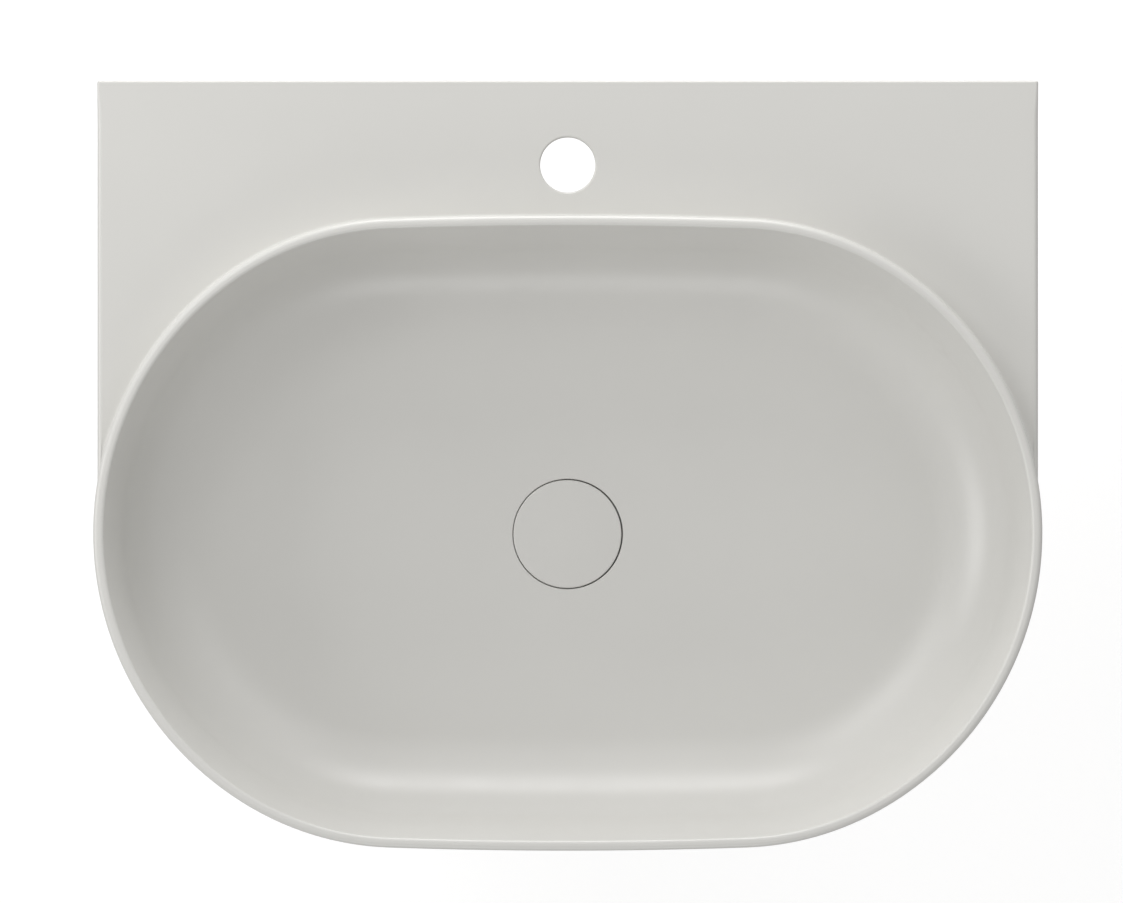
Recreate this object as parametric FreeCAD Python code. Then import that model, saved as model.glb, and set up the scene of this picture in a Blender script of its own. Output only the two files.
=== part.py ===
import FreeCAD, Part
import math
import os

from FreeCAD import Vector

# Wall-hung ceramic washbasin: tap ledge, oval bowl with a thin raised rim, and a press-to-open waste.
# Lengths are in millimetres and angles in degrees.
# The origin lies in the wall plane, midway between the two wall holes.
# X runs along the wall, Y into the wall and Z up.

# Rim outline in plan: each quarter is three tangent arcs, from the end of the bowl to its middle line
rim_length = 600.0
end_arc_radius = 201.0
end_arc_angle = 61.0
shoulder_arc_radius = 185.0
shoulder_arc_angle = 88.0
middle_line_angle = 90.0
ledge_depth = 85.5

# Heights of the ceramic
rim_above_wall_holes = 75.0
basin_height = 135.0
rim_above_ledge = 25.0
ledge_thickness = 14.0

# Rim and outside
apron_draft = 5.0
rim_width = 6.2
rim_outer_round = 3.2
rim_inner_round = 2.4
cove_radius = 3.5
ledge_side_inset = 1.0
ledge_side_round = 3.0
ledge_back_round = 1.5
foot_round = 6.0

# Bowl
bowl_draft = 15.0
bowl_depth = 92.0
bowl_corner_radius = 55.0
floor_dish_radius = 6500.0
bowl_wall = 11.0

# Hollow below
apron_wall = 11.0
back_wall = 20.0
front_hollow_depth = 84.0
boss_radius = 47.0
boss_above_foot = 4.0
boss_draft = 3.0
boss_root_round = 10.0

# Holes in the ceramic
tap_hole_radius = 17.5
tap_hole_from_wall = 53.4
tap_hole_round = 1.2
wall_hole_spacing = 280.0
wall_hole_radius = 8.0
waste_ahead_of_middle = 1.1
waste_seat_radius = 35.1
waste_seat_depth = 11.5
waste_seat_round = 1.2
waste_hole_radius = 22.8

# Waste cap and what holds it
cap_radius = 34.2
cap_thickness = 5.5
cap_proud = 1.2
cap_crown = 0.5
cap_edge_round = 1.0
cap_lower_bevel = 0.8
carrier_radius = 23.6
carrier_thickness = 2.0
carrier_hub_radius = 6.5
carrier_hub_length = 3.0
cap_seal_width = 3.2
cap_seal_thickness = 1.6

# Waste body
flange_radius = 31.5
flange_thickness = 3.2
flange_edge_round = 1.0
seat_radius = 24.5
throat_radius = 19.5
throat_depth = 5.0
neck_radius = 22.4
neck_length = 9.0
tail_radius = 20.955
tail_bore_radius = 18.25
tail_below_foot = 44.0
tail_free_length = 24.0
tail_groove_width = 2.0
tail_groove_depth = 1.0
gasket_thickness = 1.5
gasket_radius = 31.0

# Spider in the throat
spider_ring_width = 2.2
spider_ring_height = 3.0
spider_hub_radius = 10.5
spider_hub_height = 9.0
spider_arm_count = 4
spider_arm_width = 2.4
arm_turn_share = 0.5

# Click cartridge
cartridge_radius = 8.0
cartridge_bore_radius = 6.4
cartridge_collar_radius = 9.5
cartridge_collar_height = 1.6
cartridge_length = 52.0
cartridge_top_wall = 3.0
rod_radius = 3.0
plunger_foot_length = 9.0
plunger_travel = 9.0
rotor_length = 8.0
rotor_bore_radius = 2.6
tooth_count = 8
tooth_height = 2.0
tooth_root_radius = 3.6
tooth_share = 0.8
plug_flange_height = 2.0
plug_length = 6.0
plug_post_radius = 2.2
spring_wire_radius = 0.6
spring_coil_radius = 5.0
spring_turns = 4
rod_seal_wire_radius = 0.9

# Clamping stack below the ceramic
cone_gasket_height = 8.0
cone_gasket_top_radius = 25.5
cone_gasket_bottom_radius = 29.0
washer_radius = 29.5
washer_thickness = 1.2
nut_radius = 30.5
nut_height = 10.0
nut_notch_count = 6
nut_notch_width = 8.0
nut_notch_depth = 2.5
cone_gasket_neck = 3.0

# Wall sleeves
sleeve_bore_radius = 5.3
sleeve_flange_radius = 13.0
sleeve_flange_thickness = 3.0

# Clearances, the overrun that all cuts share, and how near to each other two surfaces count as meeting
running_clearance = 0.08
fit_clearance = 0.1
seat_gap = 0.3
overrun = 5.0
meeting_tolerance = 0.01


def tangent_arcs():
    """Centre, radius and angles of the three arcs of a quarter, about the middle of the bowl."""
    first = math.radians(end_arc_angle)
    second = math.radians(shoulder_arc_angle)
    end_x = rim_length / 2 - end_arc_radius
    shoulder_x = end_x + (end_arc_radius - shoulder_arc_radius) * math.cos(first)
    shoulder_y = (end_arc_radius - shoulder_arc_radius) * math.sin(first)
    side_radius = shoulder_arc_radius + shoulder_x / math.cos(second)
    side_y = shoulder_y - shoulder_x * math.tan(second)
    return [
        (end_x, 0.0, end_arc_radius, 0.0, end_arc_angle),
        (shoulder_x, shoulder_y, shoulder_arc_radius, end_arc_angle, shoulder_arc_angle),
        (0.0, side_y, side_radius, shoulder_arc_angle, middle_line_angle),
    ]


# Places that follow from the sizes
half_depth = tangent_arcs()[-1][1] + tangent_arcs()[-1][2]
bowl_y = -ledge_depth - half_depth
waste_y = bowl_y - waste_ahead_of_middle
rim_z = rim_above_wall_holes
ledge_z = rim_z - rim_above_ledge
foot_z = rim_z - basin_height
floor_z = rim_z - bowl_depth
waste_seat_z = floor_z - waste_seat_depth
boss_z = foot_z + boss_above_foot
flange_z = waste_seat_z + gasket_thickness
flange_top_z = flange_z + flange_thickness
cap_top_z = floor_z + cap_proud
cap_z = cap_top_z - cap_thickness
carrier_z = cap_z - carrier_thickness
throat_z = flange_top_z - throat_depth
tail_z = foot_z - tail_below_foot
spider_z = throat_z
rod_top_z = cap_z - carrier_thickness / 2
cartridge_top_z = carrier_z - carrier_hub_length - seat_gap
hub_top_z = cartridge_top_z - cartridge_collar_height
bore_top_z = cartridge_top_z - cartridge_top_wall
plunger_foot_z = bore_top_z - seat_gap - plunger_travel - plunger_foot_length
rotor_low_z = plunger_foot_z + tooth_height - rotor_length
plug_top_z = cartridge_top_z - cartridge_length + plug_length - plug_flange_height
rod_seal_radius = rod_radius + running_clearance + rod_seal_wire_radius
rod_seal_height = 2 * rod_seal_wire_radius + fit_clearance


def rim_point(arc, angle, side, front, inset, z):
    """A point of one quarter of the rim outline, moved in by the inset."""
    centre_x, centre_y, radius = arc[:3]
    turn = math.radians(angle)
    x = centre_x + (radius - inset) * math.cos(turn)
    y = centre_y + (radius - inset) * math.sin(turn)
    return Vector(side * x, bowl_y + front * y, z)


def quarter(side, front, inset, z):
    """Edges of one quarter of the outline, from the end of the bowl to its middle line."""
    edges = []
    for arc in tangent_arcs():
        start, stop = arc[3:]
        angles = (start, (start + stop) / 2, stop)
        points = [rim_point(arc, angle, side, front, inset, z) for angle in angles]
        edges.append(Part.Arc(*points).toShape())
    return edges


def half_outline(front, inset, z):
    """Edges of the front (-1) or back (1) half, from the left end of the bowl to the right."""
    return quarter(-1, front, inset, z) + list(reversed(quarter(1, front, inset, z)))


def oval(inset, z):
    """The whole rim outline, moved in by the inset."""
    return Part.Wire(half_outline(-1, inset, z) + list(reversed(half_outline(1, inset, z))))


def ledge_outline(inset, back_y, z):
    """The front half of the oval with straight sides back to the wall."""
    side_x = rim_length / 2 - inset
    corners = [Vector(side_x, bowl_y, z), Vector(side_x, back_y, z),
               Vector(-side_x, back_y, z), Vector(-side_x, bowl_y, z)]
    lines = [Part.LineSegment(a, b).toShape() for a, b in zip(corners, corners[1:])]
    return Part.Wire(half_outline(-1, inset, z) + lines)


def apron_inset(z):
    """How far the outside lies within the rim outline at a height, so that the rounded lip reaches it."""
    draft = math.radians(apron_draft)
    lip_loss = rim_outer_round * (math.tan(draft) + 1 / math.cos(draft) - 1)
    return (rim_z - z) * math.tan(draft) - lip_loss


def rod(radius, z_low, z_high, y=waste_y):
    """An upright cylinder in the middle plane, on the waste's axis if no other place is given."""
    return Part.makeCylinder(radius, z_high - z_low, Vector(0, y, z_low))


def tube(outer, inner, z_low, z_high):
    """An upright tube on the waste's axis."""
    return rod(outer, z_low, z_high).cut(rod(inner, z_low - overrun, z_high + overrun))


def turned(points):
    """A solid of revolution about the waste's axis, from (radius, height) points that run clockwise."""
    corners = [Vector(radius, waste_y, z) for radius, z in points]
    face = Part.Face(Part.makePolygon(corners + corners[:1]))
    return face.revolve(Vector(0, waste_y, 0), Vector(0, 0, 1), 360)


def edges_at(shape, z, test=None):
    """Edges that lie at one height, and pass the test."""
    found = []
    for edge in shape.Edges:
        box = edge.BoundBox
        level = abs(box.ZMin - z) < fit_clearance and abs(box.ZMax - z) < fit_clearance
        if level and (test is None or test(box)):
            found.append(edge)
    return found


def oval_body():
    """The drafted oval from foot to rim, with the foot's round and the outer round of the lip."""
    sections = [oval(apron_inset(z), z) for z in (foot_z, rim_z)]
    body = Part.makeLoft(sections, True, True)
    body = body.makeFillet(foot_round, edges_at(body, foot_z))
    return body.makeFillet(rim_outer_round, edges_at(body, rim_z))


def ledge_block():
    """The block that carries the ledge, from the wall to the middle of the oval."""
    low_half = rim_length / 2 - apron_inset(foot_z) - ledge_side_inset
    high_half = rim_length / 2 - apron_inset(ledge_z) - ledge_side_inset
    corners = [Vector(low_half, 0, foot_z), Vector(-low_half, 0, foot_z),
               Vector(-high_half, 0, ledge_z), Vector(high_half, 0, ledge_z)]
    block = Part.Face(Part.makePolygon(corners + corners[:1])).extrude(Vector(0, bowl_y, 0))
    block = block.makeFillet(foot_round, edges_at(block, foot_z, lambda box: box.XLength < foot_round))
    block = block.makeFillet(ledge_side_round, edges_at(block, ledge_z, lambda box: box.XLength < foot_round))
    back_edges = edges_at(block, ledge_z, lambda box: box.YMin > -ledge_side_round)
    return block.makeFillet(ledge_back_round, back_edges)


def bowl_form(wall):
    """The bowl's inside, or with a wall the outside of its shell."""
    slope = math.tan(math.radians(bowl_draft))
    spread = wall / math.cos(math.radians(bowl_draft))
    sections = []
    for z in (floor_z - wall - overrun, rim_z + overrun):
        sections.append(oval(rim_width + (rim_z - z) * slope - spread, z))
    form = Part.makeLoft(sections, True, True)
    dish_centre = Vector(0, waste_y, floor_z + floor_dish_radius)
    form = form.common((Part.makeSphere(floor_dish_radius + wall, dish_centre),), meeting_tolerance)
    middle_z = (floor_z + rim_z) / 2
    floor_edges = [edge for edge in form.Edges
                   if edge.BoundBox.ZMax < middle_z and edge.BoundBox.ZLength < bowl_wall]
    return form.makeFillet(bowl_corner_radius + wall, floor_edges)


def belly():
    """The outside of the bowl's shell, with the waste boss below it."""
    shell = bowl_form(bowl_wall)
    boss_height = floor_z - boss_z
    low_radius = boss_radius - boss_height * math.tan(math.radians(boss_draft))
    boss = Part.makeCone(low_radius, boss_radius, boss_height, Vector(0, waste_y, boss_z))
    body = shell.fuse(boss)
    roots = [edge for edge in body.Edges
             if edge.BoundBox.XLength < 2 * boss_radius + boss_root_round
             and floor_z - 2 * bowl_wall < edge.BoundBox.ZMin < floor_z - bowl_wall / 2]
    return body.makeFillet(boss_root_round, roots)


def foot_hollow():
    """What is open from below, between apron, back wall, ledge and the shell of the bowl."""
    sections = []
    for z in (foot_z - overrun, ledge_z - ledge_thickness):
        sections.append(ledge_outline(apron_inset(z) + apron_wall, -back_wall, z))
    hollow = Part.makeLoft(sections, True, True)
    front_z = rim_z - front_hollow_depth
    above_front = Part.makeBox(2 * rim_length, rim_length, rim_z - front_z,
                               Vector(-rim_length, bowl_y - rim_length, front_z))
    return hollow.cut(above_front).cut(belly())


def round_ring(shape, radius, y, amount, z):
    """Rounds the ring edge of a hole in the middle plane, near a height."""
    edges = []
    for edge in shape.Edges:
        box = edge.BoundBox
        level = box.ZLength < fit_clearance and abs(box.ZMin - z) < overrun
        out_of_place = [abs(math.hypot(end.X, end.Y - y) - radius) for end in edge.Vertexes]
        if level and max(out_of_place) < fit_clearance:
            edges.append(edge)
    return shape.makeFillet(amount, edges)


def wall_rod(radius, x, front_y, back_y):
    """A level cylinder across the back wall."""
    return Part.makeCylinder(radius, back_y - front_y, Vector(x, front_y, 0), Vector(0, 1, 0))


def wall_hole_places():
    """The wall holes, left and right of the middle."""
    return [side * wall_hole_spacing / 2 for side in (-1, 1)]


def basin():
    """The whole ceramic casting."""
    body = oval_body().fuse(ledge_block())
    cove_edges = [edge for edge in edges_at(body, ledge_z)
                  if isinstance(edge.Curve, Part.Circle) and edge.CenterOfMass.y > bowl_y]
    body = body.makeFillet(cove_radius, cove_edges)
    body = body.cut(foot_hollow()).cut(bowl_form(0))
    outline = oval(0, rim_z)
    lip_middle = (rim_width + rim_outer_round) / 2
    lip_edges = [edge for edge in edges_at(body, rim_z) if edge.distToShape(outline)[0] > lip_middle]
    body = body.makeFillet(rim_inner_round, lip_edges)
    ledge_low_z = ledge_z - ledge_thickness
    body = body.cut(rod(tap_hole_radius, ledge_low_z - overrun, ledge_z + overrun, -tap_hole_from_wall))
    body = round_ring(body, tap_hole_radius, -tap_hole_from_wall, tap_hole_round, ledge_z)
    body = body.cut(rod(waste_seat_radius, waste_seat_z, floor_z + overrun))
    body = round_ring(body, waste_seat_radius, waste_y, waste_seat_round, floor_z)
    body = body.cut(rod(waste_hole_radius, boss_z - overrun, waste_seat_z + overrun))
    for x in wall_hole_places():
        body = body.cut(wall_rod(wall_hole_radius, x, -back_wall - overrun, overrun))
    return body


def fixing_sleeves():
    """Two shoulder sleeves that keep the wall studs off the ceramic."""
    sleeves = []
    flange_y = -back_wall - sleeve_flange_thickness
    for x in wall_hole_places():
        sleeve = wall_rod(wall_hole_radius - fit_clearance, x, -back_wall, 0)
        sleeve = sleeve.fuse(wall_rod(sleeve_flange_radius, x, flange_y, -back_wall))
        sleeves.append(sleeve.cut(wall_rod(sleeve_bore_radius, x, flange_y - overrun, overrun)))
    return Part.makeCompound(sleeves)


def waste_cap():
    """The round ceramic cap, slightly crowned, with a rounded upper edge and a bevelled lower one."""
    crown_radius = (cap_radius ** 2 + cap_crown ** 2) / (2 * cap_crown)
    crown_centre = Vector(0, waste_y, cap_top_z + cap_crown - crown_radius)
    round_x = cap_radius - cap_edge_round
    round_rise = math.sqrt((crown_radius - cap_edge_round) ** 2 - round_x ** 2)
    round_centre = crown_centre + Vector(round_x, 0, round_rise)
    out_of_crown = (round_centre - crown_centre).normalize()
    between = (out_of_crown + Vector(1, 0, 0)).normalize()
    top = crown_centre + Vector(0, 0, crown_radius)
    crown_end = crown_centre + out_of_crown * crown_radius
    crown_middle = crown_centre + (out_of_crown + Vector(0, 0, 1)).normalize() * crown_radius
    side_top = round_centre + Vector(cap_edge_round, 0, 0)
    lower = [side_top, Vector(cap_radius, waste_y, cap_z + cap_lower_bevel),
             Vector(cap_radius - cap_lower_bevel, waste_y, cap_z), Vector(0, waste_y, cap_z), top]
    edges = [Part.Arc(top, crown_middle, crown_end).toShape(),
             Part.Arc(crown_end, round_centre + between * cap_edge_round, side_top).toShape()]
    outline = Part.Wire(edges + Part.makePolygon(lower).Edges)
    return Part.Face(outline).revolve(Vector(0, waste_y, 0), Vector(0, 0, 1), 360)


def cap_carrier():
    """The disc under the cap, with the hub that screws on the plunger."""
    disc = rod(carrier_radius, carrier_z, cap_z)
    hub = rod(carrier_hub_radius, carrier_z - carrier_hub_length, cap_z)
    return disc.fuse(hub).cut(rod(rod_radius + fit_clearance, carrier_z - overrun, rod_top_z))


def seat_z(radius):
    """Height of the waste's seat cone at a radius."""
    return flange_top_z - (seat_radius - radius) / (seat_radius - throat_radius) * throat_depth


def cap_seal():
    """The ring under the carrier's edge, bevelled like the seat that it closes on."""
    bevel = throat_depth / (seat_radius - throat_radius)
    lift = seat_gap * math.hypot(1, bevel)
    inner = carrier_radius - cap_seal_width
    low_z = carrier_z - cap_seal_thickness
    edge_z = seat_z(carrier_radius) + lift
    bevel_radius = carrier_radius - (edge_z - low_z) / bevel
    return turned([(inner, carrier_z), (carrier_radius, carrier_z), (carrier_radius, edge_z),
                   (bevel_radius, low_z), (inner, low_z)])


def waste_body():
    """Flange, seat cone, throat and threaded tail in one turned piece."""
    ledge_low_z = spider_z - spider_ring_height
    edge = flange_edge_round
    groove_z = tail_z + edge + tail_free_length
    groove_radius = tail_radius - tail_groove_depth
    body = turned([(flange_radius - edge, flange_top_z), (flange_radius, flange_top_z - edge),
                   (flange_radius, flange_z), (neck_radius, flange_z),
                   (neck_radius, flange_z - neck_length), (tail_radius, flange_z - neck_length),
                   (tail_radius, tail_z + edge), (tail_radius - edge, tail_z),
                   (tail_bore_radius, tail_z), (tail_bore_radius, ledge_low_z),
                   (throat_radius, ledge_low_z), (throat_radius, throat_z),
                   (seat_radius, flange_top_z)])
    return body.cut(tube(tail_radius + overrun, groove_radius, groove_z, groove_z + tail_groove_width))


def spider():
    """A ring, a hub and the arms between them, which carry the cartridge in the throat."""
    low_z = spider_z - spider_ring_height
    ring_radius = throat_radius - fit_clearance
    body = tube(ring_radius, ring_radius - spider_ring_width, low_z, spider_z)
    hub_low_z = hub_top_z - spider_hub_height
    body = body.fuse(rod(spider_hub_radius, hub_low_z, hub_top_z))
    reach = ring_radius - spider_ring_width / 2
    for index in range(spider_arm_count):
        arm = Part.makeBox(reach, spider_arm_width, spider_ring_height,
                           Vector(0, waste_y - spider_arm_width / 2, low_z))
        arm.rotate(Vector(0, waste_y, 0), Vector(0, 0, 1), 360 * (index + arm_turn_share) / spider_arm_count)
        body = body.fuse(arm)
    return body.cut(rod(cartridge_radius + fit_clearance, hub_low_z - overrun, hub_top_z + overrun))


def cartridge_housing():
    """The tube of the click mechanism, hung from the spider's hub by its collar."""
    low_z = cartridge_top_z - cartridge_length
    body = rod(cartridge_radius, low_z, cartridge_top_z)
    body = body.fuse(rod(cartridge_collar_radius, hub_top_z, cartridge_top_z))
    body = body.cut(rod(cartridge_bore_radius, low_z - overrun, bore_top_z))
    body = body.cut(rod(rod_radius + running_clearance, low_z, cartridge_top_z + overrun))
    seal_room = rod(rod_seal_radius + rod_seal_wire_radius + fit_clearance,
                    cartridge_top_z - rod_seal_height, cartridge_top_z + overrun)
    return body.cut(seal_room)


def rod_seal():
    """The O-ring round the plunger in the top of the cartridge."""
    middle_z = cartridge_top_z - rod_seal_height + rod_seal_wire_radius
    ring = Part.makeTorus(rod_seal_radius, rod_seal_wire_radius, Vector(0, waste_y, middle_z))
    return ring


def waste_point(radius, angle, z):
    """A point at a radius and an angle about the waste's axis."""
    return Vector(radius * math.cos(angle), waste_y + radius * math.sin(angle), z)


def click_teeth(tip_z, root_z):
    """Wedges of a face gear, from a flat at the roots to a line at the tips."""
    wedges = []
    half_turn = math.radians(180 / tooth_count)
    span = half_turn * tooth_share
    for index in range(tooth_count):
        middle = 2 * half_turn * index
        sections = []
        for radius in (tooth_root_radius, cartridge_bore_radius + overrun):
            corners = [waste_point(radius, middle - span, root_z),
                       waste_point(radius, middle + span, root_z),
                       waste_point(radius, middle, tip_z)]
            sections.append(Part.makePolygon(corners + corners[:1]))
        wedges.append(Part.makeLoft(sections, True, True))
    return wedges


def plunger():
    """The rod and its toothed foot."""
    foot_radius = cartridge_bore_radius - running_clearance
    foot_low_z = plunger_foot_z + tooth_height
    body = rod(rod_radius, foot_low_z, rod_top_z - fit_clearance)
    body = body.fuse(rod(foot_radius, foot_low_z, plunger_foot_z + plunger_foot_length))
    teeth = click_teeth(plunger_foot_z, foot_low_z + tooth_height / tooth_count)
    barrel = tube(foot_radius, tooth_root_radius, plunger_foot_z, foot_low_z + tooth_height)
    for tooth in teeth:
        body = body.fuse(tooth.common(barrel))
    return body


def click_rotor():
    """The ring below the plunger, with notches that its teeth drop into."""
    outer = cartridge_bore_radius - running_clearance
    high_z = plunger_foot_z + tooth_height
    body = tube(outer, rotor_bore_radius, rotor_low_z, high_z)
    body = body.cut(rod(tooth_root_radius, plunger_foot_z, high_z + overrun))
    for tooth in click_teeth(plunger_foot_z - fit_clearance, high_z + fit_clearance):
        body = body.cut(tooth)
    return body


def biarc(start, start_way, end, end_way):
    """Two tangent arcs between two points with given directions."""
    chord = end - start
    ways = start_way + end_way
    spread = 2 * (1 - start_way.dot(end_way))
    reach = (-chord.dot(ways) + math.sqrt(chord.dot(ways) ** 2 + spread * chord.dot(chord))) / spread
    first = start + start_way * reach
    second = end - end_way * reach
    middle = (first + second) * 0.5
    arcs = []
    for low, corner, high in ((start, first, middle), (middle, second, end)):
        weight = (high - low).Length / 2 / reach
        top = (low + high + corner * (2 * weight)) * (1 / (2 + 2 * weight))
        arcs.append(Part.Arc(low, top, high).toShape())
    return arcs


def click_spring():
    """An open coil between the rotor and the end plug."""
    low_z = plug_top_z + spring_wire_radius + fit_clearance
    high_z = rotor_low_z - spring_wire_radius - fit_clearance
    steps = 2 * spring_turns
    rise = (high_z - low_z) / steps
    points, ways = [], []
    for step in range(steps + 1):
        angle = math.pi * step
        points.append(waste_point(spring_coil_radius, angle, low_z + rise * step))
        way = Vector(-math.pi * spring_coil_radius * math.sin(angle),
                     math.pi * spring_coil_radius * math.cos(angle), rise)
        ways.append(way.normalize())
    edges = []
    for step in range(steps):
        edges += biarc(points[step], ways[step], points[step + 1], ways[step + 1])
    circle = Part.Wire(Part.makeCircle(spring_wire_radius, points[0], ways[0]))
    spring = Part.Wire(edges).makePipeShell([circle], True, False)
    print("least gap between the spring's turns", round(2 * rise - 2 * spring_wire_radius, 2))
    return spring


def cartridge_plug():
    """The end plug that the spring stands on, with the post that centres it."""
    low_z = cartridge_top_z - cartridge_length
    body = rod(cartridge_radius, low_z - plug_flange_height, low_z)
    body = body.fuse(rod(cartridge_bore_radius - fit_clearance, low_z, plug_top_z))
    return body.fuse(rod(plug_post_radius, low_z, plug_top_z + plug_length / 2))


def flange_gasket():
    """The flat ring between the flange and its seat in the ceramic."""
    return tube(gasket_radius, neck_radius + fit_clearance, waste_seat_z, flange_z)


def cone_gasket():
    """The stepped ring below the ceramic, with a neck that centres the tail in the hole."""
    neck = waste_hole_radius - fit_clearance
    inner = tail_radius + fit_clearance
    low_z = boss_z - cone_gasket_height
    return turned([(inner, boss_z + cone_gasket_neck), (neck, boss_z + cone_gasket_neck), (neck, boss_z),
                   (cone_gasket_top_radius, boss_z), (cone_gasket_bottom_radius, low_z), (inner, low_z)])


def friction_washer():
    """The slippery ring between gasket and nut."""
    high_z = boss_z - cone_gasket_height
    return tube(washer_radius, tail_radius + fit_clearance, high_z - washer_thickness, high_z)


def lock_nut():
    """The round nut with notches for a wrench."""
    high_z = boss_z - cone_gasket_height - washer_thickness
    low_z = high_z - nut_height
    body = tube(nut_radius, tail_radius + fit_clearance, low_z, high_z)
    for index in range(nut_notch_count):
        notch = Part.makeBox(nut_notch_depth + overrun, nut_notch_width, nut_height - washer_thickness,
                             Vector(nut_radius - nut_notch_depth, waste_y - nut_notch_width / 2, low_z))
        notch.rotate(Vector(0, waste_y, 0), Vector(0, 0, 1), 360 * index / nut_notch_count)
        body = body.cut(notch)
    return body


makers = [basin, fixing_sleeves, waste_cap, cap_carrier, cap_seal, waste_body, spider, cartridge_housing,
          rod_seal, plunger, click_rotor, click_spring, cartridge_plug, flange_gasket, cone_gasket,
          friction_washer, lock_nut]

os.makedirs("parts", exist_ok=True)
for maker in makers:
    maker().exportStep("parts/" + maker.__name__ + ".step")
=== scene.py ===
import math

import bmesh
import bpy
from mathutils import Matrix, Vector, kdtree


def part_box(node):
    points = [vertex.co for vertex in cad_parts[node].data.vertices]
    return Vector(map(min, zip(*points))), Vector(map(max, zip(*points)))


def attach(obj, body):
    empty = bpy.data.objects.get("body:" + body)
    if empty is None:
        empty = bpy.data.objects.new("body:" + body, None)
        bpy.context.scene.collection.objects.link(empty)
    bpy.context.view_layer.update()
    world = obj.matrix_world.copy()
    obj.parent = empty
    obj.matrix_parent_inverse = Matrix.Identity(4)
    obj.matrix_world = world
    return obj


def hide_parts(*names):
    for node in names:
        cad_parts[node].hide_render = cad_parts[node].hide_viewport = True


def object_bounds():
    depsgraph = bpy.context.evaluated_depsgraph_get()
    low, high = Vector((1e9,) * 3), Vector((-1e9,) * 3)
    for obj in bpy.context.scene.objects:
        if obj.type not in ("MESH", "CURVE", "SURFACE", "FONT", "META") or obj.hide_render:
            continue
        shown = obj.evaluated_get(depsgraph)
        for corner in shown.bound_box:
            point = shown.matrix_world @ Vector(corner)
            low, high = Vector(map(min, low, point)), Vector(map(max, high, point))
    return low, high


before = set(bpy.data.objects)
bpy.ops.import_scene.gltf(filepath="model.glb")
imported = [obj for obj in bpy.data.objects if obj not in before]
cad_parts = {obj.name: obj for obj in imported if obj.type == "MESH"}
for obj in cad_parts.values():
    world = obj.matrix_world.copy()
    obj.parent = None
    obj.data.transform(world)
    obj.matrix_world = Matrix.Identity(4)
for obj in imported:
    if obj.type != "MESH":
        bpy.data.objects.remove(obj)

cad_low, cad_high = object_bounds()

# Wall-hung washbasin seen from straight above, over a pale floor.
# Sizes are in millimetres, turned into metres by mm.
mm = 0.001

# Rim outline in plan: each quarter is three tangent arcs, from the end of the bowl to its middle line
end_arc_radius = 201.0
end_arc_angle = 61.0
shoulder_arc_radius = 185.0
shoulder_arc_angle = 88.0
middle_line_angle = 90.0
waste_ahead_of_middle = 1.1

# Ceramic
rim_above_ledge = 25.0
ledge_thickness = 14.0
apron_draft = 5.0
rim_width = 6.2
rim_outer_round = 3.2
rim_inner_round = 2.4
cove_radius = 3.5
ledge_side_inset = 0.0
ledge_side_round = 3.0
ledge_back_round = 1.5
foot_round = 6.0
hollow_edge_round = 1.5
bowl_draft = 15.0
bowl_depth = 92.0
bowl_corner_radius = 55.0
floor_dish_radius = 6500.0
bowl_wall = 11.0
apron_wall = 11.0
back_wall = 20.0
hollow_corner_round = 8.0
front_hollow_depth = 84.0
boss_radius = 47.0
boss_above_foot = 4.0
boss_draft = 3.0
boss_root_round = 10.0
boss_edge_round = 1.5
waste_seat_radius = 35.0
waste_seat_depth = 11.5
waste_seat_round = 0.7
waste_hole_radius = 22.8
tap_hole_radius = 17.5
tap_hole_from_wall = 53.4
tap_hole_round = 1.2
wall_hole_spacing = 280.0
wall_hole_radius = 8.0

# Waste cap
cap_radius = 34.45
cap_crown = 0.8
cap_edge_round = 0.9
cap_lower_bevel = 0.8
cap_off_middle = 0.2

# Waste body, with a G 1 1/4 pipe thread on its tail
flange_radius = 31.5
flange_edge_round = 1.0
seat_radius = 24.5
throat_radius = 19.5
throat_depth = 5.0
spider_ring_height = 3.0
gasket_thickness = 1.5
flange_thickness = 3.2
neck_radius = 22.4
neck_length = 9.0
tail_radius = 20.955
tail_bore_radius = 18.25
tail_below_foot = 44.0
tail_free_length = 24.0
tail_groove_width = 2.0
tail_edge_bevel = 1.3
thread_pitch = 2.309
thread_depth = 1.0
thread_step = 0.2
thread_run_out = 1.6

# Clamping stack below the ceramic
fit_clearance = 0.1
cone_gasket_height = 8.0
cone_gasket_top_radius = 25.5
cone_gasket_bottom_radius = 29.0
cone_gasket_neck = 3.0
gasket_round = 0.8
gasket_rib_count = 3
gasket_rib_height = 0.35
washer_radius = 29.5
washer_thickness = 1.2
washer_round = 0.3
nut_radius = 30.5
nut_height = 10.0
nut_notch_count = 6
nut_notch_width = 8.0
nut_notch_depth = 2.5
nut_edge_bevel = 0.5

# Wall sleeves
sleeve_bore_radius = 5.3
sleeve_flange_radius = 13.0
sleeve_flange_thickness = 3.0
sleeve_edge_round = 0.6

# How finely the ceramic is drawn: columns round the bowl, and rows along one section
end_arc_columns = 44
shoulder_arc_columns = 14
side_arc_columns = 10
corner_column_span = 0.8
corner_columns = 4
ledge_corner_angle = 45.0
side_fan_power = 2.5
side_blend_parts = 12
recess_hole_rows = 2
recess_floor_rows = 3
recess_wall_rows = 3
small_round_rows = 6
floor_rows = 18
bowl_corner_rows = 26
bowl_corner_tries = 4
bowl_wall_rows = 8
lip_rows = 9
rim_outside_rows = 4
ledge_flat_rows = 10
wall_rows = 8
foot_round_rows = 7
hollow_edge_rows = 4
apron_rows = 4
back_hollow_rows = 5
ceiling_rows = 8
shell_top_rows = 9
shell_rows = 22
boss_floor_rows = 8
boss_root_rows = 8
boss_wall_rows = 4
boss_edge_rows = 4
boss_face_rows = 3
rounds_share = 0.45

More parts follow.
